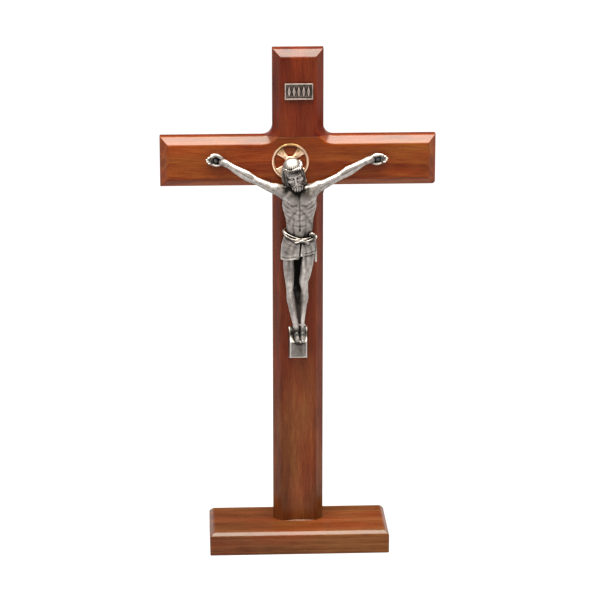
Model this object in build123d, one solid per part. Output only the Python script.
import os
from math import cos, radians, sin

from build123d import *

# Driving dimensions in millimetres, angles in degrees. The front of the cross faces -Y.
overall_height = 254.0
overrun = 1.0

# Base block
base_length = 90.0
base_depth = 39.0
base_height = 12.0
base_bevel = 2.2

# Boards of the cross
board_width = 25.0
board_thickness = 9.0
board_bevel = 4.0
beam_length = 135.0
head_length = 43.0
corner_radius = 5.0
upright_setback = 1.5

# Tenon of the upright in the base, and the screw that draws it down
tenon_width = 15.0
tenon_thickness = 6.0
tenon_length = 7.0
tenon_clearance = 0.1
mortise_spare = 0.3
screw_diameter = 2.9
screw_length = 24.0
screw_point = 3.5
screw_clearance = 0.05
screw_head_diameter = 5.5
screw_head_height = 1.6
screw_head_lip = 0.3
screw_head_recess = 0.8
screw_slot_width = 0.7
screw_slot_depth = 0.7

# Plaque at the head of the cross
plaque_width = 14.2
plaque_height = 8.6
plaque_thickness = 1.4
plaque_rim = 0.8
plaque_recess = 0.5
plaque_bevel = 0.25
plaque_drop = 20.4
lozenge_count = 5
lozenge_width = 1.7
lozenge_height = 4.6
spike_diameter = 1.4
spike_length = 4.0
spike_point = 1.2
spike_spread = 7.0

# Halo, held on a peg on the back of the head
halo_diameter = 18.4
halo_rim_width = 1.5
halo_rim_height = 1.2
halo_plate = 0.8
halo_hub_diameter = 5.2
halo_arm_root = 2.2
halo_arm_tip = 5.2
halo_arm_count = 4
halo_arm_angle = 45.0
halo_across = -3.9
halo_rise = -1.1
peg_diameter = 2.2
peg_embed = 3.0

# Nails, and the clearance of every nail, spike and peg in its hole
nail_diameter = 1.0
nail_point = 1.4
nail_head_diameter = 2.2
nail_head_height = 0.6
hand_nail_length = 6.0
hand_nail_seat = 1.9
foot_nail_length = 10.0
foot_nail_seat = 7.0
hole_clearance = 0.05

# Cast figure: every place and size on it is a share of its height, crown to toes
figure_height = 94.0
hand_rise = 1.5
head_bow_angle = 18.0
head_tilt_angle = 8.0
body_sides = 12
limb_sides = 10
small_sides = 6

# Rows of a chain: across, rise above the hands, forward of the board, half width, half depth
torso_shares = (
    (-0.002, -0.496, 0.072, 0.062, 0.036),
    (-0.002, -0.457, 0.070, 0.080, 0.045),
    (0.000, -0.383, 0.068, 0.074, 0.042),
    (0.003, -0.330, 0.068, 0.069, 0.041),
    (0.003, -0.266, 0.072, 0.078, 0.047),
    (0.003, -0.207, 0.073, 0.088, 0.049),
    (-0.003, -0.160, 0.068, 0.090, 0.041),
    (-0.007, -0.128, 0.067, 0.055, 0.033),
    (-0.012, -0.100, 0.075, 0.033, 0.030),
)
# Left arm as seen: outward, rise, forward, half height, half depth. The right one mirrors it.
arm_centre_share = -0.008
arm_shares = (
    (0.062, -0.158, 0.066, 0.035, 0.034),
    (0.102, -0.137, 0.063, 0.031, 0.031),
    (0.160, -0.111, 0.055, 0.026, 0.026),
    (0.228, -0.081, 0.046, 0.022, 0.023),
    (0.270, -0.060, 0.041, 0.025, 0.024),
    (0.321, -0.034, 0.032, 0.019, 0.018),
    (0.361, -0.016, 0.025, 0.015, 0.014),
    (0.388, -0.006, 0.020, 0.018, 0.015),
)
palm_shares = (
    (0.378, -0.009, 0.021, 0.015, 0.014),
    (0.396, -0.003, 0.019, 0.025, 0.016),
    (0.420, 0.001, 0.018, 0.031, 0.017),
    (0.440, 0.001, 0.018, 0.030, 0.015),
    (0.448, 0.000, 0.018, 0.022, 0.011),
)
palm_nail_share = 0.420
palm_dish_share = 0.030
palm_dish_depth_share = 0.007
# Fingers: rise at the knuckle, at the tip, and the reach of the tip outward
finger_shares = (
    (0.023, 0.027, 0.468),
    (0.008, 0.010, 0.477),
    (-0.007, -0.007, 0.475),
    (-0.021, -0.022, 0.466),
)
finger_root_share = 0.436
finger_bend_share = 0.458
finger_forward_shares = (0.018, 0.022, 0.034)
finger_radius_shares = (0.0080, 0.0078, 0.0058)
thumb_shares = (
    (0.394, 0.013, 0.026, 0.010, 0.010),
    (0.413, 0.031, 0.031, 0.010, 0.009),
    (0.434, 0.038, 0.036, 0.008, 0.007),
    (0.444, 0.038, 0.038, 0.005, 0.005),
)
left_leg_shares = (
    (-0.041, -0.450, 0.070, 0.037, 0.037),
    (-0.051, -0.528, 0.081, 0.031, 0.031),
    (-0.050, -0.585, 0.098, 0.026, 0.027),
    (-0.047, -0.636, 0.107, 0.022, 0.024),
    (-0.043, -0.681, 0.098, 0.020, 0.021),
    (-0.035, -0.745, 0.078, 0.021, 0.023),
    (-0.023, -0.814, 0.063, 0.017, 0.017),
    (-0.012, -0.877, 0.054, 0.014, 0.014),
    (-0.012, -0.915, 0.045, 0.014, 0.015),
)
right_leg_shares = (
    (0.041, -0.450, 0.072, 0.037, 0.037),
    (0.042, -0.528, 0.088, 0.031, 0.031),
    (0.031, -0.579, 0.110, 0.027, 0.028),
    (0.021, -0.617, 0.118, 0.024, 0.025),
    (0.023, -0.665, 0.108, 0.020, 0.021),
    (0.026, -0.730, 0.086, 0.020, 0.022),
    (0.023, -0.803, 0.066, 0.016, 0.017),
    (0.019, -0.868, 0.055, 0.013, 0.014),
    (0.018, -0.905, 0.046, 0.013, 0.014),
)
# Feet: across at heel and toes, rise of the sole line, then the rows of the foot itself
foot_across_shares = ((-0.011, -0.013), (0.018, 0.020))
foot_lift_shares = (0.0, 0.003)
foot_shares = (
    (0.0, -0.918, 0.030, 0.011, 0.010),
    (0.2, -0.921, 0.042, 0.014, 0.017),
    (0.6, -0.951, 0.070, 0.016, 0.012),
    (0.9, -0.965, 0.090, 0.015, 0.007),
    (1.0, -0.970, 0.097, 0.011, 0.004),
)
foot_nail_share = -0.928

# Loincloth rows end with the slope of the row across the figure
cloth_shares = (
    (0.002, -0.384, 0.070, 0.078, 0.046, -0.20),
    (-0.003, -0.440, 0.071, 0.089, 0.053, -0.08),
    (-0.005, -0.490, 0.077, 0.090, 0.057, 0.06),
    (-0.007, -0.516, 0.081, 0.088, 0.057, 0.16),
)
belt_shares = (
    (-0.080, -0.372, 0.045, 0.009, 0.009),
    (-0.072, -0.384, 0.085, 0.009, 0.009),
    (-0.040, -0.400, 0.112, 0.009, 0.009),
    (0.008, -0.408, 0.120, 0.010, 0.010),
    (0.055, -0.406, 0.108, 0.009, 0.009),
    (0.084, -0.404, 0.080, 0.009, 0.009),
    (0.088, -0.402, 0.045, 0.009, 0.009),
)
knot_shares = (
    (-0.008, -0.398, 0.119, 0.007, 0.007),
    (0.004, -0.405, 0.126, 0.014, 0.012),
    (0.022, -0.416, 0.121, 0.007, 0.007),
)
tail_shares = (
    (0.086, -0.404, 0.070, 0.010, 0.012),
    (0.094, -0.450, 0.064, 0.013, 0.013),
    (0.095, -0.505, 0.056, 0.015, 0.010),
    (0.098, -0.541, 0.050, 0.012, 0.007),
)

# Head rows, along the axis of the head: height, across, forward, half width, half depth
head_place_shares = (-0.023, -0.058, 0.099)
head_shares = (
    (-0.074, 0.0, 0.024, 0.013, 0.011),
    (-0.058, 0.0, 0.018, 0.029, 0.028),
    (-0.025, 0.0, 0.008, 0.041, 0.044),
    (0.015, 0.0, 0.003, 0.046, 0.052),
    (0.045, 0.0, -0.002, 0.043, 0.050),
    (0.068, 0.0, -0.003, 0.028, 0.034),
    (0.077, 0.0, -0.003, 0.012, 0.015),
)
hair_shares = (
    (-0.078, 0.0, -0.026, 0.052, 0.020),
    (-0.030, 0.0, -0.016, 0.057, 0.038),
    (0.018, 0.0, -0.008, 0.056, 0.051),
    (0.050, 0.0, -0.006, 0.050, 0.051),
    (0.074, 0.0, -0.005, 0.032, 0.035),
    (0.084, 0.0, -0.005, 0.012, 0.014),
)
nose_shares = (
    (0.012, 0.0, 0.050, 0.007, 0.006),
    (-0.008, 0.0, 0.057, 0.008, 0.007),
    (-0.019, 0.0, 0.059, 0.011, 0.009),
    (-0.023, 0.0, 0.054, 0.007, 0.006),
)
beard_shares = (
    (-0.038, 0.0, 0.027, 0.033, 0.026),
    (-0.066, 0.0, 0.029, 0.026, 0.022),
    (-0.088, 0.0, 0.029, 0.010, 0.010),
)
lock_shares = (
    (0.020, 0.044, 0.010, 0.012, 0.018),
    (-0.020, 0.053, 0.014, 0.014, 0.018),
    (-0.062, 0.056, 0.008, 0.014, 0.016),
    (-0.098, 0.063, -0.006, 0.008, 0.010),
)
wreath_height_share = 0.046
wreath_radius_share = 0.051
wreath_thickness_share = 0.010
peg_reach_share = 0.090

# Footrest: half width, top and bottom at the board, then the same at its front face
footrest_depth_share = 0.075
footrest_shares = ((0.050, -0.904, -1.080), (0.044, -0.969, -1.057))
footrest_across_share = -0.002
footrest_border_share = 0.012
footrest_panel_share = 0.006

# Places that follow from the driving dimensions
board_front = upright_setback - board_thickness / 2
beam_height = overall_height - head_length - board_width / 2
plaque_level = overall_height - plaque_drop
hand_level = beam_height + hand_rise
tenon_floor = base_height - tenon_length - mortise_spare
screw_seat = screw_head_recess + screw_head_height
front_plane = Plane(origin=(0, board_front, 0), x_dir=(1, 0, 0), z_dir=(0, -1, 0))


def turned(points, plane):
    """Revolve a closed outline of (radius, height) points about the normal of a plane."""
    outline = make_face(Plane.XZ * Polyline(*points, close=True))
    return plane * revolve(outline, Axis.Z)


def spot(across, rise, forward):
    """A place on the figure from shares of its height."""
    return Vector(
        across * figure_height,
        board_front - forward * figure_height,
        hand_level + rise * figure_height,
    )


def section(sides, half_width, half_depth):
    """Many-sided oval of a cast form."""
    turns = [radians(360 * step / sides) for step in range(sides)]
    points = [(half_width * cos(turn), half_depth * sin(turn)) for turn in turns]
    return make_face(Polyline(*points, close=True))


def chain(rows, width_side, sides):
    """Loft through sections square to a chain of places, their widths turned to one side."""
    places = [spot(*row[:3]) for row in rows]
    sections = []
    for index, row in enumerate(rows):
        before = places[max(index - 1, 0)]
        after = places[min(index + 1, len(places) - 1)]
        along = (after - before).normalized()
        side = width_side - along * width_side.dot(along)
        plane = Plane(origin=places[index], x_dir=side, z_dir=along)
        sections.append(plane * section(sides, row[3] * figure_height, row[4] * figure_height))
    return loft(sections, ruled=True)


def stack(rows, plane, sides, mirror=1):
    """Loft through sections stacked along the axis of the head."""
    sections = []
    for row in rows:
        height, across, forward, half_width, half_depth = (share * figure_height for share in row)
        place = Pos(mirror * across, -forward, height)
        sections.append(plane * place * section(sides, half_width, half_depth))
    return loft(sections, ruled=True)


def pin(diameter, across, height, start, end):
    """A round bar square to the board, between two distances in front of it."""
    bar = Circle(diameter / 2)
    return extrude(front_plane.offset(start) * Pos(across, height) * bar, end - start)


def base():
    """Foot block with a bevelled top, a mortise and a recessed screw hole below."""
    block = Pos(0, 0, base_height / 2) * Box(base_length, base_depth, base_height)
    block = chamfer(block.faces().sort_by(Axis.Z)[-1].edges(), base_bevel)
    room = Rectangle(tenon_width + 2 * tenon_clearance, tenon_thickness + 2 * tenon_clearance)
    mortise = extrude(Pos(0, upright_setback, tenon_floor) * room, base_height)
    head_radius = screw_head_diameter / 2 + screw_clearance
    hole_radius = screw_diameter / 2 + screw_clearance
    hole = turned(
        (
            (0, -overrun),
            (head_radius, -overrun),
            (head_radius, screw_head_recess + screw_head_lip),
            (hole_radius, screw_seat),
            (hole_radius, base_height),
            (0, base_height),
        ),
        Plane((0, upright_setback, 0)),
    )
    return block - mortise - hole


def base_screw():
    """Countersunk screw with a slotted head, point up."""
    radius = screw_diameter / 2
    tip = screw_head_recess + screw_length
    screw = turned(
        (
            (0, screw_head_recess),
            (screw_head_diameter / 2, screw_head_recess),
            (screw_head_diameter / 2, screw_head_recess + screw_head_lip),
            (radius, screw_seat),
            (radius, tip - screw_point),
            (0, tip),
        ),
        Plane((0, upright_setback, 0)),
    )
    slot = Box(screw_head_diameter + overrun, screw_slot_width, 2 * screw_slot_depth)
    return screw - Pos(0, upright_setback, screw_head_recess) * slot


def cross_blank():
    """Both boards as one outline, with rounded inner corners and a bevel round the front."""
    tall = overall_height - base_height
    outline = Pos(0, base_height + tall / 2) * Rectangle(board_width, tall)
    outline += Pos(0, beam_height) * Rectangle(beam_length, board_width)
    half = board_width / 2 + overrun
    inner = [v for v in outline.vertices() if abs(v.X) < half and abs(v.Y - beam_height) < half]
    outline = fillet(inner, corner_radius)
    blank = extrude(front_plane * outline, -board_thickness)
    front = blank.faces().sort_by(Axis.Y)[0]
    foot_edge = front.edges().sort_by(Axis.Z)[0]
    return chamfer([edge for edge in front.edges() if edge != foot_edge], board_bevel)


def lap_room():
    """The room of the cross beam: its full section, but only the front half over the upright."""
    room = Box(beam_length + overrun, 2 * board_thickness, board_width)
    back_half = Box(board_width, board_thickness, board_width)
    lifted = Pos(0, upright_setback, beam_height)
    return lifted * room - lifted * Pos(0, board_thickness / 2, 0) * back_half


def upright(blank):
    """Vertical board with its housing, its tenon and the holes for screw, spikes and nails."""
    board = blank - lap_room()
    tenon = Rectangle(tenon_width, tenon_thickness)
    board += extrude(Pos(0, upright_setback, base_height - tenon_length) * tenon, 2 * tenon_length)
    pilot = Circle(screw_diameter / 2 + screw_clearance)
    board -= extrude(Pos(0, upright_setback, 0) * pilot, screw_head_recess + screw_length)
    for across in spike_places():
        board -= pin(
            spike_diameter + 2 * hole_clearance,
            across,
            plaque_level,
            -spike_length - hole_clearance,
            overrun,
        )
    for across in foot_nail_places():
        depth = foot_nail_length - foot_nail_seat + hole_clearance
        board -= pin(nail_diameter + 2 * hole_clearance, across, foot_nail_level(), -depth, overrun)
    return board


def crossbeam(blank):
    """Horizontal board, lapped over the upright, with holes for the hand nails and the peg."""
    beam = blank & lap_room()
    for across in hand_nail_places():
        depth = hand_nail_length - hand_nail_seat + hole_clearance
        beam -= pin(nail_diameter + 2 * hole_clearance, across, hand_level, -depth, overrun)
    hole = peg_diameter + 2 * hole_clearance
    return beam - pin(hole, halo_across, hand_level + halo_rise, -peg_embed - hole_clearance, overrun)


def spike_places():
    return (-spike_spread / 2, spike_spread / 2)


def hand_nail_places():
    return [(arm_centre_share + side * palm_nail_share) * figure_height for side in (-1, 1)]


def foot_nail_places():
    return [sum(ends) / 2 * figure_height for ends in foot_across_shares]


def foot_nail_level():
    return hand_level + foot_nail_share * figure_height


def titulus_plaque():
    """Cast plate with a raised rim, a row of lozenges and two spikes on its back."""
    middle = front_plane * Pos(0, plaque_level)
    plate = extrude(middle * Rectangle(plaque_width, plaque_height), plaque_thickness)
    face = plate.faces().sort_by(Axis.Y)[0]
    plate = chamfer(face.edges(), plaque_bevel)
    field_width = plaque_width - 2 * plaque_rim
    field = Rectangle(field_width, plaque_height - 2 * plaque_rim)
    floor = front_plane.offset(plaque_thickness - plaque_recess) * Pos(0, plaque_level)
    plate -= extrude(floor * field, plaque_thickness)
    corners = (
        (-lozenge_width / 2, 0),
        (0, -lozenge_height / 2),
        (lozenge_width / 2, 0),
        (0, lozenge_height / 2),
    )
    lozenge = make_face(Polyline(*corners, close=True))
    pitch = field_width / lozenge_count
    for index in range(lozenge_count):
        across = (index + 0.5) * pitch - field_width / 2
        plate += extrude(floor * Pos(across, 0) * lozenge, plaque_recess)
    radius = spike_diameter / 2
    for across in spike_places():
        outline = (
            (0, plaque_thickness / 2),
            (radius, plaque_thickness / 2),
            (radius, spike_point - spike_length),
            (0, -spike_length),
        )
        plate += turned(outline, front_plane * Pos(across, plaque_level))
    return plate


def halo():
    """Ring with a bevelled face, flared arms and a hub with a hole for the peg."""
    middle = front_plane * Pos(halo_across, hand_level + halo_rise)
    outer = halo_diameter / 2
    inner = outer - halo_rim_width
    rim = (
        (inner, 0),
        (outer, 0),
        (outer - halo_rim_width / 3, halo_rim_height),
        (inner + halo_rim_width / 3, halo_rim_height),
    )
    piece = turned(rim, middle)
    arm = make_face(
        Polyline(
            (0, -halo_arm_root / 2),
            (outer - halo_rim_width / 2, -halo_arm_tip / 2),
            (outer - halo_rim_width / 2, halo_arm_tip / 2),
            (0, halo_arm_root / 2),
            close=True,
        )
    )
    for index in range(halo_arm_count):
        turn = Rot(0, 0, halo_arm_angle + 360 * index / halo_arm_count)
        piece += extrude(middle * turn * arm, halo_plate)
    piece += extrude(middle * Circle(halo_hub_diameter / 2), halo_plate)
    return piece - extrude(middle * Circle(peg_diameter / 2 + hole_clearance), halo_rim_height)


def nail(length, across, height, seat):
    """Flat-headed nail, its head's underside at the seat in front of the board."""
    shank = nail_diameter / 2
    rim = nail_head_diameter / 2
    outline = (
        (0, nail_head_height),
        (0, -length),
        (shank, nail_point - length),
        (shank, 0),
        (rim, 0),
        (rim, nail_head_height),
    )
    return turned(outline, front_plane.offset(seat) * Pos(across, height))


def hand_nails():
    first, second = (
        nail(hand_nail_length, across, hand_level, hand_nail_seat) for across in hand_nail_places()
    )
    return first + second


def foot_nails():
    first, second = (
        nail(foot_nail_length, across, foot_nail_level(), foot_nail_seat) for across in foot_nail_places()
    )
    return first + second


def sided(rows, side):
    """Rows of an arm or a hand, set on one side of the figure."""
    return [(arm_centre_share + side * row[0], *row[1:]) for row in rows]


def hand(side):
    """Open hand: palm, four slightly curled fingers and the thumb along the top."""
    up = Vector(0, 0, 1)
    palm = chain(sided(palm_shares, side), up, limb_sides)
    pieces = [palm, chain(sided(thumb_shares, side), up, small_sides)]
    for knuckle, tip, reach in finger_shares:
        outs = (finger_root_share, finger_bend_share, reach)
        rises = (knuckle, (knuckle + tip) / 2, tip)
        rows = [
            (out, rise, forward, radius, radius)
            for out, rise, forward, radius in zip(outs, rises, finger_forward_shares, finger_radius_shares)
        ]
        pieces.append(chain(sided(rows, side), up, small_sides))
    return pieces


def leg(rows, ends, lift):
    """Leg from hip to ankle, and its foot pointing down the footrest."""
    right = Vector(1, 0, 0)
    heel, toes = ends
    foot = [
        (heel + (toes - heel) * run, rise + lift, forward, half_width, half_depth)
        for run, rise, forward, half_width, half_depth in foot_shares
    ]
    return [chain(rows, right, limb_sides), chain(foot, right, limb_sides)]


def loincloth():
    """Wrapped cloth with a slanting top and hem, rope belt, knot and hanging end."""
    sections = []
    for across, rise, forward, half_width, half_depth, slope in cloth_shares:
        plane = Plane(origin=spot(across, rise, forward), x_dir=(1, 0, slope), z_dir=(-slope, 0, 1))
        sections.append(plane * section(body_sides, half_width * figure_height, half_depth * figure_height))
    up = Vector(0, 0, 1)
    right = Vector(1, 0, 0)
    return [
        loft(sections, ruled=True),
        chain(belt_shares, up, small_sides),
        chain(knot_shares, up, small_sides),
        chain(tail_shares, right, small_sides),
    ]


def head():
    """Bowed head with hair, beard and a wreath, in the frame of the head."""
    plane = Plane(origin=spot(*head_place_shares)).rotated((head_bow_angle, -head_tilt_angle, 0))
    pieces = [stack(rows, plane, body_sides) for rows in (head_shares, hair_shares)]
    pieces += [stack(rows, plane, small_sides) for rows in (beard_shares, nose_shares)]
    pieces += [stack(lock_shares, plane, small_sides, mirror) for mirror in (-1, 1)]
    thickness = wreath_thickness_share * figure_height
    reach = Pos(wreath_radius_share * figure_height, 0)
    wreath = revolve(Plane.XZ * reach * section(small_sides, thickness, thickness), Axis.Z)
    pieces.append(plane * Pos(0, 0, wreath_height_share * figure_height) * wreath)
    return pieces


def footrest():
    """Wedge block under the feet, with a bordered panel in its front face."""
    depth = footrest_depth_share * figure_height
    across = footrest_across_share * figure_height
    faces = []
    for start, (half_width, top, bottom) in zip((0, depth), footrest_shares):
        middle = hand_level + (top + bottom) / 2 * figure_height
        outline = Rectangle(2 * half_width * figure_height, (top - bottom) * figure_height)
        faces.append(front_plane.offset(start) * Pos(across, middle) * outline)
    border = footrest_border_share * figure_height
    panel_depth = footrest_panel_share * figure_height
    panel = offset(outline, -border, kind=Kind.INTERSECTION)
    recess = extrude(front_plane.offset(depth - panel_depth) * Pos(across, middle) * panel, depth)
    return loft(faces, ruled=True) - recess


def fused(pieces):
    """Join pieces one after another, in the order given."""
    whole = pieces[0]
    for piece in pieces[1:]:
        whole += piece
    return whole


def lower_figure():
    """Loincloth, torso, legs and footrest."""
    skirt, *trim = loincloth()
    left_leg, left_foot = leg(left_leg_shares, foot_across_shares[0], foot_lift_shares[0])
    right_leg, right_foot = leg(right_leg_shares, foot_across_shares[1], foot_lift_shares[1])
    torso = chain(torso_shares, Vector(1, 0, 0), body_sides)
    return fused([skirt, torso, left_leg, right_leg, left_foot, right_foot, footrest()] + trim)


def arm(side):
    """Raised arm with its hand."""
    return fused([chain(sided(arm_shares, side), Vector(0, 0, 1), limb_sides)] + hand(side))


def corpus():
    """The cast figure, trimmed flat against the boards, with its peg and nail holes."""
    figure = fused([lower_figure(), fused(head()), arm(-1), arm(1)])
    behind = Box(beam_length, board_thickness, 2 * overall_height)
    figure -= Pos(0, upright_setback, 0) * behind
    peg_start = peg_reach_share * figure_height
    figure += pin(peg_diameter, halo_across, hand_level + halo_rise, -peg_embed, peg_start)
    dish_radius = palm_dish_share * figure_height
    dish_forward = palm_shares[2][2] + palm_shares[2][4] + palm_dish_share - palm_dish_depth_share
    for across in hand_nail_places():
        place = front_plane.offset(dish_forward * figure_height) * Pos(across, hand_level)
        figure -= place * Sphere(dish_radius)
        figure -= nail_room(across, hand_level, hand_nail_seat)
    for across in foot_nail_places():
        figure -= nail_room(across, foot_nail_level(), foot_nail_seat)
    return figure


def nail_room(across, height, seat):
    """Hole for a nail's shank, and the flat seat of its head."""
    spare = 2 * hole_clearance
    hole = pin(nail_diameter + spare, across, height, -overrun, seat + overrun)
    return hole + pin(nail_head_diameter + spare, across, height, seat, seat + nail_head_diameter)


blank = cross_blank()
nodes = {
    "base": base(),
    "base_screw": base_screw(),
    "upright": upright(blank),
    "crossbeam": crossbeam(blank),
    "titulus_plaque": titulus_plaque(),
    "halo": halo(),
    "corpus": corpus(),
    "hand_nails": hand_nails(),
    "foot_nails": foot_nails(),
}
os.makedirs("parts", exist_ok=True)
for name, shape in nodes.items():
    export_step(shape, f"parts/{name}.step")
